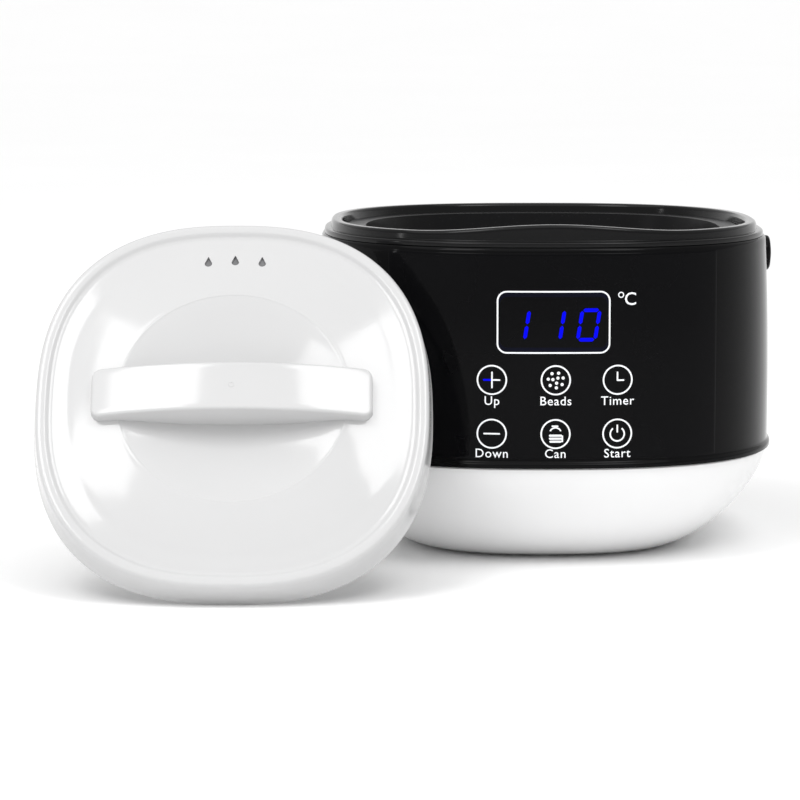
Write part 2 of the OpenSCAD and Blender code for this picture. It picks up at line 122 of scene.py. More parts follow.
def rounded(profile, closed, steps=4):
    """The profile with each corner turned into a curve of its own rounding."""
    n = len(profile)
    out = []
    for i, p in enumerate(profile):
        rounding = p[-1]
        if rounding <= 0 or (not closed and i in (0, n - 1)):
            out.append(p)
            continue
        start = towards(p, profile[i - 1], rounding)
        end = towards(p, profile[(i + 1) % n], rounding)
        for k in range(steps + 1):
            t = k / steps
            out.append(mix(mix(start, p, t), mix(p, end, t), t))
    return out


def catmull_rom(p, q, r, s, t):
    """The curve from q to r at t, with p and s the values before and after them."""
    slope = r - p
    bend = 2 * p - 5 * q + 4 * r - s
    twist = 3 * q - p - 3 * r + s
    return 0.5 * (2 * q + slope * t + bend * t ** 2 + twist * t ** 3)


def spline(profile, steps):
    """A smooth curve through the profile's entries."""
    pts = [mix(profile[1], profile[0], 2)] + profile + [mix(profile[-2], profile[-1], 2)]
    out = []
    for i in range(1, len(pts) - 2):
        for k in range(steps):
            out.append([catmull_rom(*values, k / steps) for values in zip(*pts[i - 1:i + 3])])
    out.append(pts[-2])
    return out


def crown_at(x, y):
    return (1 + math.cos(math.pi * x / CROWN_X)) / 2 if y < 0 and abs(x) < CROWN_X else 0.0


# ---------------------------------------------------------------- solids from rows of points
def band(a, b, n):
    """Faces between the row of n points that starts at index a and the one that starts at b."""
    return [(a + i, a + (i + 1) % n, b + (i + 1) % n, b + i) for i in range(n)]


def skin(rows, joined=False, capped=False):
    """A surface over rows of equal length, with its last row joined to its first, or with flat ends."""
    n = len(rows[0])
    verts = [point for row in rows for point in row]
    faces = []
    for j in range(len(rows) if joined else len(rows) - 1):
        faces += band(j * n, (j + 1) % len(rows) * n, n)
    if capped:
        faces += [tuple(range(n)), tuple(range(len(verts) - n, len(verts)))[::-1]]
    return verts, faces


def together(parts):
    """Several solids as one list of points and one list of faces."""
    verts = []
    faces = []
    for part_verts, part_faces in parts:
        base = len(verts)
        verts += part_verts
        faces += [tuple(base + i for i in face) for face in part_faces]
    return verts, faces


def loft(profile, poles=None):
    """A profile carried round the outline. poles are the axis heights that its ends close to."""
    rows = []
    for half, z, power, ratio, crown, _ in profile:
        outline = [superellipse(math.tau * i / ROUND, half, power, ratio) for i in range(ROUND)]
        rows.append([(x, y, z + crown * crown_at(x, y)) for x, y in outline])
    verts, faces = skin(rows, joined=not poles)
    if poles:
        last = len(verts) - ROUND
        pole = len(verts)
        verts += [(0, 0, poles[0]), (0, 0, poles[1])]
        for i in range(ROUND):
            k = (i + 1) % ROUND
            faces += [(pole, k, i), (pole + 1, last + i, last + k)]
    return verts, faces


def prism(outline, z0, z1):
    return skin([[(x, y, z) for x, y in outline] for z in (z0, z1)], capped=True)


def lathe(profile, sides=96):
    """Solid of revolution about z from (radius, z) pairs that start and end on the axis."""
    rows = []
    for r, z in profile[1:-1]:
        turns = [math.tau * i / sides for i in range(sides)]
        rows.append([(r * math.cos(a), r * math.sin(a), z) for a in turns])
    verts, faces = skin(rows)
    last = len(verts) - sides
    pole = len(verts)
    verts += [(0, 0, profile[0][1]), (0, 0, profile[-1][1])]
    for i in range(sides):
        k = (i + 1) % sides
        faces += [(pole, k, i), (pole + 1, last + i, last + k)]
    return verts, faces


# ---------------------------------------------------------------- objects and pieces
def clean_mesh(name, verts, faces):
    """A mesh with its doubled points joined and its faces turned outwards."""
    mesh = bpy.data.meshes.new(name)
    mesh.from_pydata([Vector(v) for v in verts], [], faces)
    bm = bmesh.new()
    bm.from_mesh(mesh)
    bmesh.ops.remove_doubles(bm, verts=bm.verts, dist=WELD)
    bmesh.ops.recalc_face_normals(bm, faces=bm.faces)
    bm.to_mesh(mesh)
    bm.free()
    return mesh


def add_object(name, data):
    obj = bpy.data.objects.new(name, data)
    scene.collection.objects.link(obj)
    return obj


def finish_piece(name, mesh, body, slot, replaces=(), matrix=None, look=None):
    """A mesh in mm as a piece that is placed by matrix, rides on body and takes slot's look."""
    mesh.transform(matrix or Matrix.Identity(4))
    mesh.transform(Matrix.Scale(MM, 4))
    mesh.shade_smooth()
    mesh.set_sharp_from_angle(angle=math.radians(SHARP_ANGLE))
    mesh.materials.clear()
    mesh.materials.append(look or LOOKS[slot])
    obj = add_object(name, mesh)
    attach(obj, body)
    if replaces:
        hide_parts(*replaces)
    return obj


def piece(name, solid, body, slot, replaces=(), matrix=None, look=None):
    return finish_piece(name, clean_mesh(name, *solid), body, slot, replaces, matrix, look)


def carved(solid, cutters):
    """solid with each cutter taken out of it, as a mesh. The helper objects are removed."""
    base = add_object("base", clean_mesh("base", *solid))
    tools = [add_object("cutter", clean_mesh("cutter", *cutter)) for cutter in cutters]
    for tool in tools:
        cut = base.modifiers.new("cut", "BOOLEAN")
        cut.operation = "DIFFERENCE"
        cut.solver = "EXACT"
        cut.object = tool
    graph = bpy.context.evaluated_depsgraph_get()
    mesh = bpy.data.meshes.new_from_object(base.evaluated_get(graph))
    for obj in [base, *tools]:
        bpy.data.objects.remove(obj)
    return mesh


# ---------------------------------------------------------------- materials
LOOKS = {}


def new_material(name):
    look = bpy.data.materials.new(name)
    look.use_nodes = True
    LOOKS[name] = look
    return look.node_tree, look.node_tree.nodes["Principled BSDF"]


def noise(tree, scale, detail=3.0, rough=0.5, stretch=None):
    """Noise in real size: scale is waves per metre."""
    tex = tree.nodes.new("ShaderNodeTexNoise")
    tex.inputs["Scale"].default_value = scale
    tex.inputs["Detail"].default_value = detail
    tex.inputs["Roughness"].default_value = rough
    source = tree.nodes.new("ShaderNodeTexCoord").outputs["Object"]
    if stretch:
        mapping = tree.nodes.new("ShaderNodeMapping")
        mapping.inputs["Scale"].default_value = stretch
        tree.links.new(source, mapping.inputs["Vector"])
        source = mapping.outputs["Vector"]
    tree.links.new(source, tex.inputs["Vector"])
    return tex.outputs["Fac"]


def two_tone(tree, source, low, first, high, last):
    """A colour that goes from first, where source is low, to last, where it is high."""
    node = tree.nodes.new("ShaderNodeValToRGB")
    tree.links.new(source, node.inputs["Fac"])
    for element, place, colour in zip(node.color_ramp.elements, (low, high), (first, last)):
        element.position = place
        element.color = (*colour, 1)
    return node.outputs["Color"]


def shaded(tree, source, colour, mottle, low=0.3, high=0.7):
    """colour, darkened by the share mottle where source is low."""
    return two_tone(tree, source, low, tuple(c * (1 - mottle) for c in colour), high, colour)


def spread(tree, source, low, high):
    node = tree.nodes.new("ShaderNodeMapRange")
    node.inputs["To Min"].default_value = low
    node.inputs["To Max"].default_value = high
    tree.links.new(source, node.inputs["Value"])
    return node.outputs["Result"]


def bump(tree, shader, layers):
    """layers are (output, strength, depth in mm), laid over each other."""
    normal = None
    for source, strength, depth in layers:
        node = tree.nodes.new("ShaderNodeBump")
        node.inputs["Strength"].default_value = strength
        node.inputs["Distance"].default_value = depth * MM
        tree.links.new(source, node.inputs["Height"])
        if normal:
            tree.links.new(normal, node.inputs["Normal"])
        normal = node.outputs["Normal"]
    tree.links.new(normal, shader.inputs["Normal"])


def moulded(name, colour, rough, specular, mottle=0.04, orange_peel=0.012, scratches=0.0):
    """Polished moulding: a cloudy colour, handling marks in the gloss, orange peel and hairlines."""
    tree, shader = new_material(name)
    tree.links.new(shaded(tree, noise(tree, 22, 4), colour, mottle), shader.inputs["Base Color"])
    gloss = spread(tree, noise(tree, 60, 5, 0.6), rough * 0.75, rough * 1.35)
    tree.links.new(gloss, shader.inputs["Roughness"])
    shader.inputs["Specular IOR Level"].default_value = specular
    layers = [(noise(tree, 420, 2), 0.35, orange_peel)]
    if scratches:
        layers.append((noise(tree, 900, 2, 0.7, (1.0, 0.06, 0.9)), 0.2, scratches))
    bump(tree, shader, layers)


def textured(name, colour, rough, grain, depth, metallic=0.0, specular=0.5):
    """Matt surface with a fine grain: grain is waves per metre, depth is in mm."""
    tree, shader = new_material(name)
    tree.links.new(shaded(tree, noise(tree, 35, 5), colour, 0.12), shader.inputs["Base Color"])
    gloss = spread(tree, noise(tree, 160, 4), rough * 0.85, min(1, rough * 1.15))
    tree.links.new(gloss, shader.inputs["Roughness"])
    shader.inputs["Metallic"].default_value = metallic
    shader.inputs["Specular IOR Level"].default_value = specular
    bump(tree, shader, [(noise(tree, grain, 3, 0.6), 0.5, depth)])


def brushed(name, colour, rough, stretch):
    """Metal with fine lines along the axis that stretch draws out."""
    tree, shader = new_material(name)
    lines = noise(tree, 1500, 3, 0.6, stretch)
    tree.links.new(shaded(tree, lines, colour, 0.12, 0.35, 0.65), shader.inputs["Base Color"])
    tree.links.new(spread(tree, lines, rough * 0.8, rough * 1.25), shader.inputs["Roughness"])
    shader.inputs["Metallic"].default_value = 1.0
    bump(tree, shader, [(lines, 0.3, 0.01)])


def nonstick():
    """Dark coating with pale flecks."""
    tree, shader = new_material("nonstick")
    cells = tree.nodes.new("ShaderNodeTexVoronoi")
    cells.inputs["Scale"].default_value = 520
    coord = tree.nodes.new("ShaderNodeTexCoord")
    tree.links.new(coord.outputs["Object"], cells.inputs["Vector"])
    pale = (0.03, 0.03, 0.031)
    dark = (0.005, 0.005, 0.0055)
    flecks = two_tone(tree, cells.outputs["Distance"], 0.05, pale, 0.13, dark)
    tree.links.new(flecks, shader.inputs["Base Color"])
    tree.links.new(spread(tree, noise(tree, 90, 4), 0.24, 0.4), shader.inputs["Roughness"])
    shader.inputs["Specular IOR Level"].default_value = 0.12
    bump(tree, shader, [(noise(tree, 700, 2), 0.3, 0.02)])


def glowing(name, colour, emission, strength, specular=0.3):
    tree, shader = new_material(name)
    shader.inputs["Specular IOR Level"].default_value = specular
    tree.links.new(shaded(tree, noise(tree, 300, 2), colour, 0.1), shader.inputs["Base Color"])
    shader.inputs["Emission Color"].default_value = (*emission, 1)
    shader.inputs["Emission Strength"].default_value = strength
    shader.inputs["Roughness"].default_value = 0.35


# each call below adds one look to LOOKS
HOUSING_BLACK = (0.0025, 0.0025, 0.0028)
moulded("gloss_white", (0.86, 0.86, 0.862), 0.16, 0.5, mottle=0.02)
moulded("lid_white", (0.56, 0.56, 0.562), 0.09, 0.5, mottle=0.02, orange_peel=0.008)
moulded("gloss_black", HOUSING_BLACK, 0.1, 0.08, mottle=0.2, scratches=0.003)
moulded("panel_black", (0.002, 0.002, 0.0025), 0.07, 0.07, mottle=0.2, orange_peel=0.006)
moulded("display_face", (0.002, 0.0025, 0.01), 0.07, 0.08, mottle=0.3, orange_peel=0.004)
moulded("circuit_board", (0.02, 0.12, 0.05), 0.3, 0.4)
moulded("relay_blue", (0.03, 0.12, 0.4), 0.25, 0.5)
moulded("capacitor_sleeve", (0.02, 0.02, 0.05), 0.25, 0.5)
# panel_print glows faintly though the print is no lamp: painted light that brightens the white print
glowing("panel_print", (0.82, 0.83, 0.85), (0.9, 0.95, 1.0), 0.16)
glowing("led_blue", (0.002, 0.003, 0.2), (0.0, 0.0, 1.0), 0.85, specular=0.02)
nonstick()
brushed("steel", (0.62, 0.62, 0.64), 0.3, (1.0, 0.05, 1.0))
brushed("aluminium", (0.72, 0.72, 0.73), 0.26, (0.05, 0.05, 1.0))
brushed("pin_brass", (0.75, 0.72, 0.62), 0.25, (1.0, 0.08, 1.0))
textured("rubber", (0.035, 0.035, 0.038), 0.75, grain=2600, depth=0.04)
textured("matte_black", (0.03, 0.03, 0.032), 0.5, grain=1800, depth=0.05, specular=0.35)
textured("galvanised", (0.6, 0.61, 0.62), 0.4, grain=240, depth=0.03, metallic=1.0)
textured("foam", (0.06, 0.06, 0.06), 0.9, grain=1500, depth=0.2)
textured("nylon", (0.8, 0.8, 0.76), 0.45, grain=900, depth=0.02)
textured("element_sheath", (0.25, 0.22, 0.2), 0.5, grain=800, depth=0.03, metallic=0.8)
textured("wire_sleeve", (0.45, 0.06, 0.04), 0.55, grain=1400, depth=0.02)
textured("glass_wool", (0.72, 0.7, 0.6), 0.95, grain=700, depth=0.4)
textured("ceramic", (0.85, 0.84, 0.8), 0.5, grain=1200, depth=0.02)
textured("paper_board", (0.35, 0.22, 0.08), 0.6, grain=900, depth=0.02)
textured("terminal_green", (0.05, 0.3, 0.12), 0.45, grain=900, depth=0.02)
# vent_grey is the grey of the painted shade inside the lid's vents
textured("vent_grey", (0.17, 0.17, 0.175), 0.6, grain=1500, depth=0.03)
moulded("gloss_black_rim", HOUSING_BLACK, 0.12, 0.2, mottle=0.2, scratches=0.003)


def dress_cad_nodes():
    for part in frame["record"]["subparts"]:
        mesh = frame["nodes"][part["node"]].data
        mesh.materials.clear()
        mesh.materials.append(LOOKS[part["material_slot"]])
        mesh.shade_smooth()
        mesh.set_sharp_from_angle(angle=math.radians(CAD_SHARP_ANGLE))


def soften_edges(node, width):
    edge = frame["nodes"][node].modifiers.new("edge", "BEVEL")
    edge.width = width * MM
    edge.segments = 2
    edge.limit_method = "ANGLE"
    edge.angle_limit = math.radians(40)
    edge.use_clamp_overlap = True


dress_cad_nodes()
for name, width in (("foot_ring", 0.4), ("power_inlet", 0.35), ("inlet_pins", 0.25)):
    soften_edges(name, width)


# ---------------------------------------------------------------- lower shell
BOWL_LOW = 50
BOWL_POWER = 1.5
BOWL_JOIN = HALF - 1.4


def bowl_half(z):
    rise = (1 - (1 - z / SEAM) ** BOWL_POWER) ** (1 / BOWL_POWER)
    return BOWL_LOW + (BOWL_JOIN - BOWL_LOW) * rise


def make_lower_shell():
    low = 1.2
    top = SEAM - 0.1
    rows = 40
    outside = [low + (top - low) * i / rows for i in range(rows)]
    outer = [corner(bowl_half(z), z) for z in outside]
    edge = [corner(bowl_half(top), top - 0.5), corner(bowl_half(top) - 0.5, top)]
    tongue_out = HALF - 4.6
    tongue_in = HALF - 6.6
    tongue = [
        corner(tongue_out, top, 0.3),
        corner(tongue_out, top + 5, 0.4),
        corner(tongue_in, top + 5, 0.4),
        corner(tongue_in, top - 6, 0.8),
    ]
    rows = 24
    inside = [top - 8 - (top - 14) * i / rows for i in range(rows)]
    inner = [corner(bowl_half(z) - WALL, z + 0.4) for z in inside]
    floor_top = 6.9
    floor_under = 4.1
    pan_hole = 42
    foot_groove = 48.9
    floor = [
        corner(BOWL_LOW, floor_top),
        corner(pan_hole, floor_top),
        corner(pan_hole, floor_under),
        corner(foot_groove, floor_under),
        corner(foot_groove, low),
    ]
    profile = rounded(outer + edge + tongue + inner + floor, closed=True)
    piece("lower_shell_skin", loft(profile), "housing", "gloss_white", ["lower_shell"])


make_lower_shell()

# ---------------------------------------------------------------- upper wrap and its panel
WRAP_HALF = HALF - 1.1
WRAP_WIDEST = 60  # height that the wrap narrows above
WRAP_TAPER = 1.7
WRAP_SPAN = 65
PANEL_HALF = 63.0
PANEL_LOW = SEAM + 3.4
PANEL_HIGH = SHOULDER - 2.0
PANEL_THICK = 1.5


def wrap_half(z):
    return WRAP_HALF - WRAP_TAPER * ((max(z, WRAP_WIDEST) - WRAP_WIDEST) / WRAP_SPAN) ** 2


def front_y(x, z, out=0.0):
    """Depth of the panel's front at (x, z), out mm further towards the front."""
    a = wrap_half(z) + 0.2
    return -(a * RATIO * (1 - (abs(x) / a) ** POWER) ** (1 / POWER)) - out


def make_upper_wrap():
    foot = SEAM + 0.1
    lip = [corner(HALF, foot, 0.25), corner(HALF, foot + 1.5, 0.5), corner(WRAP_HALF, foot + 2.7, 0.6)]
    low = SEAM + 6
    high = SHOULDER - 1.2
    rows = 24
    levels = [low + (high - low) * i / rows for i in range(rows + 1)]
    outer = [corner(wrap_half(z), z) for z in levels]
    mouth = HALF - 11.6
    ledge = SHOULDER - 2.4
    shoulder = [
        corner(HALF - 3.4, SHOULDER, 0.6),
        corner(mouth, SHOULDER),
        corner(mouth, ledge),
        corner(HALF - 5.8, ledge),
    ]
    taper_top = 108
    taper_low = 76
    inner = [corner(HALF - 5.0, taper_top), corner(HALF - 4.2, taper_low), corner(HALF - 4.2, foot)]
    solid = loft(rounded(lip + outer + shoulder + inner, closed=True))
    mesh = carved(solid, [inlet_hole()])
    finish_piece("upper_wrap_skin", mesh, "housing", "gloss_black", ["upper_wrap"])


def inlet_hole():
    low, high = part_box("power_inlet")
    half_w = high.x / MM - 2.8
    half_h = 10.7
    front = 80
    back = 100
    mid_z = (low.z + high.z) / 2 / MM
    outline = [(-half_w, front), (half_w, front), (half_w, back), (-half_w, back)]
    return prism(outline, mid_z - half_h, mid_z + half_h)


def make_panel():
    """The panel as a closed shell on a grid, with its border rolled back."""
    roll = 0.45
    columns = 140
    rows = 60
    xs = [-PANEL_HALF + 2 * PANEL_HALF * i / columns for i in range(columns + 1)]
    zs = [PANEL_LOW + (PANEL_HIGH - PANEL_LOW) * j / rows for j in range(rows + 1)]
    xs = sorted(xs + [-PANEL_HALF + roll / 2, PANEL_HALF - roll / 2])
    zs = sorted(zs + [PANEL_LOW + roll / 2, PANEL_HIGH - roll / 2])
    nx = len(xs)
    nz = len(zs)

    def sink(x, z):
        inside = min(PANEL_HALF - abs(x), z - PANEL_LOW, PANEL_HIGH - z)
        drop = 0.0 if inside >= roll else roll - math.sqrt(roll ** 2 - (roll - inside) ** 2)
        return 0.35 * drop

    verts = [(x, front_y(x, z) + sink(x, z), z) for z in zs for x in xs]
    verts += [(x, front_y(x, z) + PANEL_THICK, z) for z in zs for x in xs]
    back = nx * nz
    faces = []
    for j in range(nz - 1):
        for i in range(nx - 1):
            a = j * nx + i
            b = a + nx
            faces.append((a, a + 1, b + 1, b))
            faces.append((back + a, back + b, back + b + 1, back + a + 1))
    bottom = list(range(nx))
    right = [j * nx + nx - 1 for j in range(1, nz)]
    top = [(nz - 1) * nx + i for i in range(nx - 2, -1, -1)]
    left = [j * nx for j in range(nz - 2, 0, -1)]
    border = bottom + right + top + left
    faces += [(p, back + p, back + q, q) for p, q in zip(border, border[1:] + border[:1])]
    piece("front_panel_skin", (verts, faces), "housing", "panel_black", ["control_panel"])


make_upper_wrap()
make_panel()


# ---------------------------------------------------------------- rim and pot
def make_rim():
    out = HALF - 3.8
    foot = SHOULDER + 0.05
    well_hole = 73.4
    under = LEDGE - 2.2
    step = [
        corner(out, foot, 0.3),
        corner(out, SHOULDER + 1.6, 0.5),
        corner(out - 0.6, SHOULDER + 2.1, 0.4),
        corner(out - 2.5, SHOULDER + 2.3, 0.3),
    ]
    crest = [
        corner(out - 2.8, RIM_TOP - 0.9, 0.7, CROWN),
        corner(out - 3.5, RIM_TOP, 0.6, CROWN),
        corner(out - 6.4, RIM_TOP, 0.8, CROWN),
        corner(out - 7.2, RIM_TOP - 0.8, 0.7, CROWN),
    ]
    seat = [
        corner(out - 7.9, LEDGE, 0.4),
        corner(well_hole, LEDGE, 0.4),
        corner(well_hole, under),
        corner(out - 8.2, under),
        corner(out - 8.2, foot),
    ]
    solid = loft(rounded(step + crest + seat, closed=True, steps=5))
    piece("rim_ring_skin", solid, "housing", "gloss_black", ["rim_ring"], look=LOOKS["gloss_black_rim"])


POT_MOUTH = 71.5
POT_FLOOR = 59.0
POT_FLOOR_Z = 51.0
POT_WALL = 1.2


def pot_half(z):
    return POT_FLOOR + (POT_MOUTH - POT_FLOOR) * (z - POT_FLOOR_Z) / (LEDGE - POT_FLOOR_Z)


def pot_side(grow, low, top, top_rounding=0.0):
    """The pot's wall from its floor up to top, grow mm further out."""
    return [
        corner(POT_FLOOR - 12 + 0.4 * grow, low, 3),
        corner(POT_FLOOR - 5.5 + 0.7 * grow, low + 1.4, 2.5),
        corner(POT_FLOOR - 1.2 + 0.9 * grow, low + 5, 2.5),
        corner(pot_half(low + 12) + grow, low + 12, 3),
        corner(pot_half(top) + grow, top, top_rounding),
    ]


def make_pot():
    under = POT_FLOOR_Z - POT_WALL
    outer = pot_side(POT_WALL, under, LEDGE + 0.1, 0.3)
    lip_top = LEDGE + 1.3
    lip = [
        corner(79.6, LEDGE + 0.1, 0.25),
        corner(79.9, LEDGE + 0.7, 0.3),
        corner(79.6, lip_top, 0.25),
        corner(POT_MOUTH + 1, lip_top, 0.5),
    ]
    inner = pot_side(0, POT_FLOOR_Z, LEDGE + 1.2)[::-1]
    profile = rounded(outer + lip + inner, closed=False, steps=6)
    solid = loft(profile, poles=(under, POT_FLOOR_Z))
    piece("inner_pot_skin", solid, "pot", "nonstick", ["inner_pot"])


make_rim()
make_pot()

# ---------------------------------------------------------------- carry handle
STRAP_IN = HALF - 0.85
STRAP_OUT = HALF + 2.3
STRAP_HALF_H = 5.5
STRAP_STEPS = 220
CAP_AT = STRAP_IN + 2.15
CAP_R = 5.5
CAP_SIDE = 0.45
CAP_DOME = 1.25
# the boss at each end of the strap, with a recess for its cap: (radius, height) pairs
EYE = (
    (0, 0), (6.9, 0), (7.2, 0.4), (7.2, 2.1), (6.9, 2.7), (6.3, 3.1), (5.9, 3.15), (5.7, 2.9),
    (5.65, 1.3), (0, 1.3),
)


def make_strap():
    """The strap round the back, from eye to eye."""
    section = rounded([
        corner(STRAP_IN, -STRAP_HALF_H, 0.5),
        corner(STRAP_OUT, -STRAP_HALF_H, 0.9),
        corner(STRAP_OUT, STRAP_HALF_H, 0.9),
        corner(STRAP_IN, STRAP_HALF_H, 0.5),
    ], closed=True)
    start = math.atan2(HINGE[1], STRAP_OUT)
    rows = []
    for k in range(STRAP_STEPS + 1):
        turn = start + (math.pi - 2 * start) * k / STRAP_STEPS
        rows.append([(*superellipse(turn, half, POWER, RATIO), HINGE[2] + z) for half, z, *_ in section])
    piece("handle_strap", skin(rows, capped=True), "handle", "gloss_black", ["carry_handle"])


def make_handle_end(side, name):
    turn = Matrix.Rotation(math.radians(90 * side), 4, "Y")
    place = Matrix.Translation((side * STRAP_IN, HINGE[1], HINGE[2])) @ turn
    piece("handle_eye_" + name, lathe(EYE), "handle", "gloss_black", matrix=place)
    steps = 10
    quarter = [math.pi / 2 * k / steps for k in range(1, steps)]
    dome = [(CAP_R * math.cos(a), CAP_SIDE + CAP_DOME * math.sin(a)) for a in quarter]
    cap = [(0, 0), (CAP_R, 0), (CAP_R, CAP_SIDE)] + dome + [(0, CAP_SIDE + CAP_DOME)]
    place = Matrix.Translation((side * CAP_AT, HINGE[1], HINGE[2])) @ turn
    return piece("pivot_cap_" + name, lathe(cap), "handle", "gloss_black", matrix=place)


make_strap()
right_cap = make_handle_end(1, "right")
make_handle_end(-1, "left")
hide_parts("pivot_caps")  # the CAD has both caps in one node

# ---------------------------------------------------------------- marks on the front
PROUD = 0.06  # how far a mark stands out of the panel
SUNK = 0.08  # how far it reaches in
WINDOW_PROUD = 0.015
LINE = 0.6
DISPLAY_LOW, DISPLAY_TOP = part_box("display_module")
DISPLAY_X = (DISPLAY_LOW.x + DISPLAY_TOP.x) / 2 / MM
DISPLAY_Z = (DISPLAY_LOW.z + DISPLAY_TOP.z) / 2 / MM
DIGIT_Z = DISPLAY_Z - 1
PAD_HALF = 4
PADS_LOW, PADS_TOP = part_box("touch_pads")
KEY_X = PADS_TOP.x / MM - PAD_HALF
KEY_MIDDLE = 0.3
KEY_HIGH = PADS_TOP.z / MM - PAD_HALF
KEY_LOW = PADS_LOW.z / MM + PAD_HALF
KEY_R = 5.75


def on_panel(loop, out):
    return [(x, front_y(x, z, out), z) for x, z in loop]


def mark(name, shapes, slot, proud=PROUD):
    """Closed flat shapes on the panel: each is an outline of (x, z), or a pair of outlines for a ring."""
    solids = []
    for shape in shapes:
        if len(shape) == 2:
            outer, inner = shape
            loops = ((outer, proud), (inner, proud), (inner, -SUNK), (outer, -SUNK))
            solids.append(skin([on_panel(loop, out) for loop, out in loops], joined=True))
        else:
            solids.append(skin([on_panel(shape, proud), on_panel(shape, -SUNK)], capped=True))
    piece(name, together(solids), "housing", slot)


def arc(x, z, r, start, end, steps):
    turns = [start + (end - start) * i / steps for i in range(steps + 1)]
    return [(x + r * math.cos(a), z + r * math.sin(a)) for a in turns]


def circle(x, z, r, steps=48):
    return arc(x, z, r, 0, math.tau, steps)[:-1]


def ring(x, z, r, line):
    return circle(x, z, r), circle(x, z, r - line)


def arc_band(x, z, r, line, start, end, steps=40):
    return arc(x, z, r, start, end, steps) + arc(x, z, r - line, start, end, steps)[::-1]


def bar(x, z, w, h):
    """A bar with round ends: w and h are its whole size."""
    r = min(w, h) / 2
    half = math.pi / 2
    if w >= h:
        right = arc(x + w / 2 - r, z, r, -half, half, 12)
        return right + arc(x - w / 2 + r, z, r, half, 3 * half, 12)
    top = arc(x, z + h / 2 - r, r, 0, 2 * half, 12)
    return top + arc(x, z - h / 2 + r, r, 2 * half, 4 * half, 12)


def rounded_box(x, z, w, h, r):
    """A box with round corners, and points along its sides so that it follows the panel's curve."""
    right = w / 2 - r
    top = h / 2 - r
    loop = []
    for k, (cx, cz) in enumerate(((right, top), (-right, top), (-right, -top), (right, -top))):
        loop += arc(x + cx, z + cz, r, k * math.pi / 2, (k + 1) * math.pi / 2, 10)
    out = []
    for p, q in zip(loop, loop[1:] + loop[:1]):
        parts = max(1, math.ceil(math.dist(p, q) - 1e-6))
        out += [mix(p, q, k / parts) for k in range(parts)]
    return out


def make_display():
    w = 43.1
    h = 23.8
    r = 3.8
    x = DISPLAY_X - 0.6
    inner_w = w - 2 * LINE
    inner_h = h - 2 * LINE
    inner_r = r - LINE
    outer = rounded_box(x, DISPLAY_Z, w, h, r)
    mark("display_frame", [(outer, rounded_box(x, DISPLAY_Z, inner_w, inner_h, inner_r))], "panel_print")
    # the smoked window inside the frame, in strips so that it follows the panel
    strips = 40

    def reach(offset):
        """Half the window's height at offset from its middle."""
        inside = inner_w / 2 - abs(offset)
        if inside >= inner_r:
            return inner_h / 2
        return inner_h / 2 - inner_r + math.sqrt(max(0.0, inner_r ** 2 - (inner_r - inside) ** 2))

    rows = []
    for i in range(strips + 1):
        offset = inner_w * (i / strips - 0.5)
        top = (x + offset, DISPLAY_Z + reach(offset))
        low = (x + offset, DISPLAY_Z - reach(offset))
        rows.append(on_panel([top, low], WINDOW_PROUD) + on_panel([low, top], -SUNK))
    piece("display_window", skin(rows, capped=True), "housing", "display_face")


# each segment's middle, in half widths and half heights of a digit, and whether it is upright
SEGMENTS = {
    "a": (0, 1, False), "b": (1, 0.5, True), "c": (1, -0.5, True),
    "d": (0, -1, False), "e": (-1, -0.5, True), "f": (-1, 0.5, True),
}
LIT = {"1": "bc", "0": "abcdef"}


def segment(length, stroke):
    """An upright segment with pointed ends, round the origin."""
    h = length / 2
    s = stroke / 2
    return [(-s, -h + s), (0, -h), (s, -h + s), (s, h - s), (0, h), (-s, h - s)]


def make_digits():
    half_w = 3.3
    half_h = 5.6
    stroke = 1.4
    gap = 0.28
    slant = math.tan(math.radians(9))
    shapes = []
    for digit, digit_x in (("1", -14.0), ("1", -0.65), ("0", 12.7)):
        for key in LIT[digit]:
            across, up, upright = SEGMENTS[key]
            if upright:
                outline = segment(half_h - 2 * gap, stroke)
            else:
                outline = [(v, -u) for u, v in segment(2 * half_w - 2 * gap, stroke)]
            points = [(across * half_w + u, up * half_h + v) for u, v in outline]
            shapes.append([(DISPLAY_X + digit_x + u + v * slant, DIGIT_Z + v) for u, v in points])
    mark("lit_digits", shapes, "led_blue")


def can_icon(x, z):
    """A tin: three stacked bars, a curved lid over them, a knob line and a side bar."""
    bars = ((0, -2.9, 4.6, 0.8), (0, -1.75, 5.0, 0.8), (0, -0.6, 5.0, 0.8))
    shapes = [bar(x + dx, z + dz, w, h) for dx, dz, w, h in bars]
    shapes.append(arc_band(x, z + 0.2, 2.5, 0.55, math.radians(25), math.radians(155), 20))
    shapes.append(bar(x - 0.2, z + 3.0, 2.6, LINE))
    shapes.append(bar(x + 2.6, z - 1.8, LINE, 2.6))
    return shapes


def beads_icon(x, z):
    shapes = []
    for count, reach, start in ((7, 2.9, 0.3), (3, 1.15, 0.8)):
        for k in range(count):
            a = math.tau * k / count + start
            shapes.append(circle(x + reach * math.cos(a), z + reach * math.sin(a), 0.62, 16))
    return shapes


def clock_icon(x, z):
    return [bar(x - 0.1, z + 1.35, LINE, 3.6), bar(x + 1.1, z - 0.15, 2.9, LINE)]


def power_icon(x, z):
    gap = math.radians(38)
    open_ring = arc_band(x, z - 0.15, 3.0, LINE, math.pi / 2 + gap, math.pi * 2.5 - gap)
    return [open_ring, bar(x, z + 1.9, LINE, 3.1)]


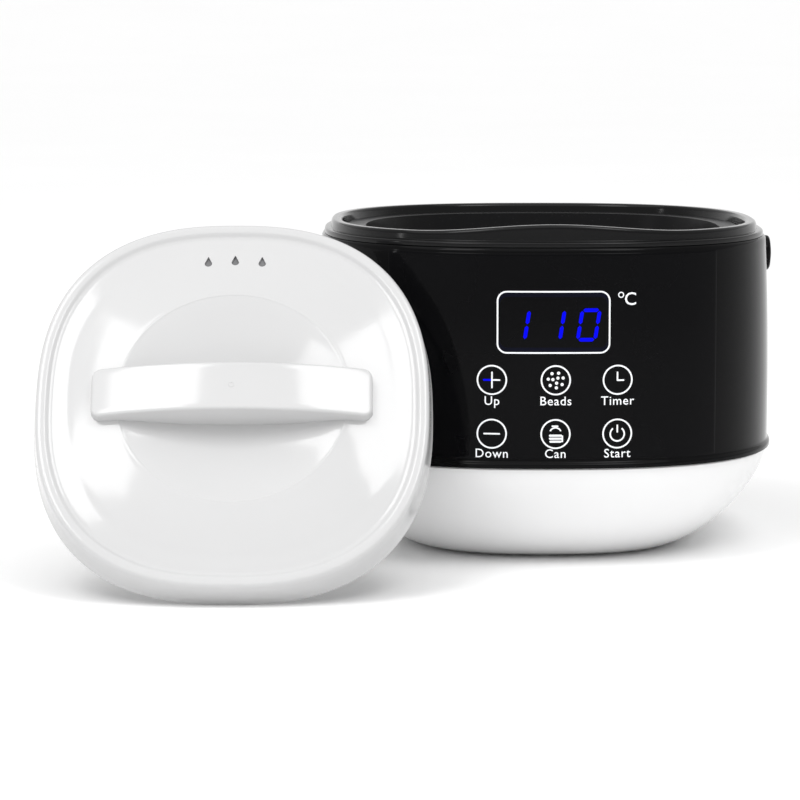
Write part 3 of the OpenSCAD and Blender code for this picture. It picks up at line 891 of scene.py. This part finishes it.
def make_icons():
    columns = (-KEY_X, KEY_MIDDLE, KEY_X)
    shapes = [ring(x, z, KEY_R, LINE) for x in columns for z in (KEY_HIGH, KEY_LOW)]
    shapes.append(bar(-KEY_X, KEY_LOW, 6.4, LINE))
    # the plus: its left arm is the lamp
    shapes.append(bar(-KEY_X + 1.75, KEY_HIGH, 2.9, LINE))
    shapes.append(bar(-KEY_X + 0.02, KEY_HIGH, LINE, 6.4))
    shapes += beads_icon(KEY_MIDDLE, KEY_HIGH)
    shapes += clock_icon(KEY_X, KEY_HIGH)
    shapes += can_icon(KEY_MIDDLE, KEY_LOW)
    shapes += power_icon(KEY_X, KEY_LOW)
    mark("key_symbols", shapes, "panel_print")
    lamp = bar(-KEY_X - 1.85, KEY_HIGH, 3.1, LINE + 0.1)
    mark("key_up_lamp", [lamp], "led_blue", PROUD + 0.02)


def word(text, x, z, size):
    """A printed word as a thin closed solid on the panel."""
    data = bpy.data.curves.new(text, "FONT")
    data.body = text
    data.size = size
    data.align_x = "CENTER"
    data.align_y = "CENTER"
    data.extrude = (PROUD + SUNK) / 2
    data.offset = 0.004 * size
    data.space_character = 1.1
    data.resolution_u = 3
    obj = add_object(text, data)
    bpy.context.view_layer.update()
    graph = bpy.context.evaluated_depsgraph_get()
    mesh = bpy.data.meshes.new_from_object(obj.evaluated_get(graph))
    verts = []
    for v in mesh.vertices:
        out = v.co.z + (PROUD - SUNK) / 2
        verts += on_panel([(x + v.co.x, z + v.co.y)], out)
    faces = [tuple(f.vertices) for f in mesh.polygons]
    bpy.data.meshes.remove(mesh)
    bpy.data.objects.remove(obj)
    return verts, faces


def make_words():
    size = 4.8
    high = KEY_HIGH - 8.1
    low = KEY_LOW - 7.7
    rows = (
        ("Up", -KEY_X, high), ("Beads", KEY_MIDDLE, high), ("Timer", KEY_X, high),
        ("Down", -KEY_X, low), ("Can", KEY_MIDDLE, low), ("Start", KEY_X, low),
    )
    labels = together([word(text, x, z, size) for text, x, z in rows])
    piece("key_words", labels, "housing", "panel_print")
    piece("unit_letter", word("C", 28.6, DISPLAY_Z + 8.5, 6.9), "housing", "panel_print")
    mark("unit_degree", [ring(25.0, DISPLAY_Z + 10.3, 1.15, 0.4)], "panel_print")


make_display()
make_digits()
make_icons()
make_words()

# ---------------------------------------------------------------- lid, made flat and then leaned
LID_HALF = 74.6
EDGE_H = 13.0
CREST_H = 16.2
DISH_R = 42.3
DISH_DEPTH = 4.6
VENT_Y = 57.5
VENT_PITCH = 10.2


def dish_z(r):
    return CREST_H - DISH_DEPTH + DISH_DEPTH * (r / DISH_R) ** 2


def lid_profile():
    h = LID_HALF
    c = EDGE_H
    under = [round_corner(r, dish_z(r) - WALL) for r in (3, 7, 12, 17, 22, 27, 32, 36)]
    inside = spline([
        corner(44, 13.3, power=2.05, ratio=1.005),
        corner(52, 12, power=2.3, ratio=1.015),
        corner(59, 10.4, power=2.4, ratio=1.025),
        corner(65, 9.6),
        corner(h - 5.6, 8.6),
        corner(h - 4.4, 6.6),
        corner(h - 2.9, 2.4),
        corner(h - 2.2, 0.3),
    ], 3)
    foot = [corner(h - 1.9, 0), corner(h - 0.35, 0)]
    skirt = spline([
        corner(h, 0.35),
        corner(h - 0.5, 2.4),
        corner(h - 0.9, 5.4),
        corner(h - 1.2, 9),
        corner(h - 1.5, c - 1.6),
    ], 4)
    bead = [
        corner(h - 1.7, c - 0.9, 0.5),
        corner(h - 2.4, c - 0.15, 0.5),
        corner(h - 3.4, c, 0.5),
        corner(h - 5.2, c - 0.08, 0.7),
        corner(h - 6.4, c - 0.95, 0.5),
        corner(h - 7.5, c - 1.2, 0.5),
    ]
    crest = spline([
        corner(h - 7.9, c - 1.2),
        corner(62, 12.5, power=2.45, ratio=1.028),
        corner(58, 13.4, power=2.4, ratio=1.025),
        corner(51, 14.9, power=2.25, ratio=1.015),
        corner(45, 15.9, power=2.1, ratio=1.005),
        corner(43.4, CREST_H - 0.1, power=2.02, ratio=1),
    ], 6)
    dish = [round_corner(DISH_R + 0.6, CREST_H, 0.2), round_corner(DISH_R, CREST_H - 0.2, 0.4)]
    dish += [round_corner(r, dish_z(r)) for r in [40 - 2.5 * k for k in range(16)]]
    return rounded(under + inside + foot + skirt + bead + crest + dish, closed=False)


def vent_outlines():
    """Three drops side by side, the middle one a little higher. Each is a round arc drawn up to a tip."""
    r = 1.4
    tip = 3.4
    steps = 28
    start = math.asin(r / tip)
    turns = [start - (math.pi + 2 * start) * k / steps for k in range(steps + 1)]
    outlines = []
    for k in (-1, 0, 1):
        x = k * VENT_PITCH
        y = VENT_Y + (0.6 if k == 0 else 0)
        drop = [(x + r * math.cos(a), y + r * math.sin(a)) for a in turns]
        outlines.append(drop + [(x - 0.12, y + tip - 0.15), (x + 0.12, y + tip - 0.15)])
    return outlines


def make_lid():
    """The lid's shell. Gives back the matrix that places everything made flat with it."""
    solid = loft(lid_profile(), poles=(dish_z(0) - WALL, dish_z(0)))
    mesh = carved(solid, [prism(outline, 5, 20) for outline in vent_outlines()])
    turn = Matrix.Rotation(math.pi / 2 - LEAN, 4, "X")
    turned = [turn @ v.co for v in mesh.vertices]
    low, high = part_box("lid_shell")
    x = (low.x + high.x) / 2 / MM
    y = low.y / MM - min(p.y for p in turned)
    z = low.z / MM - min(p.z for p in turned)
    place = Matrix.Translation((x, y, z)) @ turn
    finish_piece("lid_skin", mesh, "lid", "lid_white", ["lid_shell"], place)
    return place


def make_vent_shade(place):
    """Painted shade in each vent: a grey sheet a little below the lid's face, sloping as the face does, where the
    vent shows only its shadow.
    """
    thick = 1.2
    slope = 0.24
    solids = []
    for outline in vent_outlines():
        verts, faces = prism(outline, -thick, 0)
        solids.append(([(x, y, z + 13.0 - slope * (y - 57)) for x, y, z in verts], faces))
    piece("lid_vent_shade", together(solids), "lid", "vent_grey", matrix=place)


BAR_LONG = 52.0  # half its length
BAR_WIDE = 9.7  # half its width
BAR_END = 19.2
BAR_MIDDLE = 25.8
BAR_SUNK = 0.2  # how far its foot reaches into the lid


def make_bar(place):
    """Bowed grip: sections across it, from end to end."""
    round_end = 3.5
    edge = 1.0
    sections = 96

    def lid_face(x, y):
        r = math.hypot(x, y)
        return dish_z(r) if r < DISH_R else CREST_H - 1.2 * (r - DISH_R) / (BAR_LONG - DISH_R)

    def eased(value, x, radius):
        """value, rounded off by radius at the bar's ends."""
        inside = BAR_LONG - abs(x)
        if inside >= radius:
            return value
        return value - radius + math.sqrt(max(0.0, radius ** 2 - (radius - inside) ** 2))

    rows = []
    for j in range(sections + 1):
        x = -BAR_LONG * math.cos(math.pi * j / sections)
        top = eased(BAR_MIDDLE - (BAR_MIDDLE - BAR_END) * (x / BAR_LONG) ** 2, x, edge)
        w = eased(BAR_WIDE, x, round_end)
        quarter = [math.pi / 2 * k / 6 for k in range(7)]
        row = [(-w, lid_face(x, w) - BAR_SUNK)]
        row += [(-w + edge - edge * math.cos(a), top - edge + edge * math.sin(a)) for a in quarter]
        row += [((w - edge) * (k / 5 - 1), top) for k in range(1, 10)]
        row += [(w - edge + edge * math.sin(a), top - edge + edge * math.cos(a)) for a in quarter]
        row += [(y, lid_face(x, y) - BAR_SUNK) for y in [w * (1 - k / 5) for k in range(10)]]
        rows.append([(x, y, z) for y, z in row])
    piece("lid_bar", skin(rows, capped=True), "lid", "lid_white", ["lid_handle"], place)


def make_bar_mark(place):
    """Small moulded ring in the middle of the bar's top."""
    ring_r = 0.95
    tube_r = 0.16
    tube = circle(ring_r, BAR_MIDDLE - 0.05, tube_r, 10)
    rows = []
    for i in range(48):
        a = math.tau * i / 48
        rows.append([(r * math.cos(a), r * math.sin(a), z) for r, z in tube])
    piece("bar_ring_mark", skin(rows, joined=True), "lid", "lid_white", matrix=place)


lid_place = make_lid()
make_vent_shade(lid_place)
make_bar(lid_place)
make_bar_mark(lid_place)


# ---------------------------------------------------------------- floor and light, in metres
def make_floor():
    tree, shader = new_material("floor")
    tone = two_tone(tree, noise(tree, 3, 2), 0.3, (0.95, 0.95, 0.95), 0.7, (0.96, 0.96, 0.96))
    tree.links.new(tone, shader.inputs["Base Color"])
    shader.inputs["Roughness"].default_value = 0.9
    shader.inputs["Specular IOR Level"].default_value = 0.1
    # flat near the object, and rising slowly far away: (radius, height) pairs
    dish = ((4.0, 0.0), (6.0, 0.1), (10.0, 0.6), (20.0, 2.5), (40.0, 7.0), (120.0, 28.0))
    count = 96
    turns = [math.tau * i / count for i in range(count)]
    verts = [(r * math.cos(a), r * math.sin(a), z) for r, z in dish for a in turns]
    faces = [tuple(range(count))]
    for j in range(len(dish) - 1):
        faces += band((j + 1) * count, j * count, count)
    mesh = bpy.data.meshes.new("floor")
    mesh.from_pydata(verts, [], faces)
    mesh.shade_smooth()
    mesh.materials.append(LOOKS["floor"])
    add_object("floor", mesh)


def area_light(name, place, target, size, radiance):
    data = bpy.data.lights.new(name, "AREA")
    data.shape = "RECTANGLE"
    data.size, data.size_y = size
    data.energy = radiance * math.pi * size[0] * size[1]
    obj = add_object(name, data)
    obj.location = place
    obj.rotation_euler = (Vector(target) - Vector(place)).to_track_quat("-Z", "Y").to_euler()


def make_light():
    world = bpy.data.worlds.new("studio")
    world.use_nodes = True
    sky = world.node_tree.nodes["Background"]
    sky.inputs["Color"].default_value = (1, 1, 1, 1)
    sky.inputs["Strength"].default_value = 0.66
    scene.world = world
    sun = bpy.data.lights.new("key", "SUN")
    sun.energy = 1.2
    sun.angle = math.radians(80)
    key = add_object("key", sun)
    key.rotation_euler = (math.radians(20), math.radians(-8), 0)
    lid = (-0.12, -0.13, 0.07)
    housing = (0, 0, 0.08)
    area_light("box_left", (-0.68, -0.88, 1.41), lid, size=(0.5, 0.72), radiance=4.8)
    area_light("box_right", (0.47, -0.88, 1.41), lid, size=(0.42, 0.72), radiance=4.8)
    area_light("strip_left", (-1.5, -0.45, 0.3), housing, size=(0.05, 0.7), radiance=8)
    scene.view_settings.view_transform = "Standard"
    scene.view_settings.look = "None"


make_floor()
make_light()
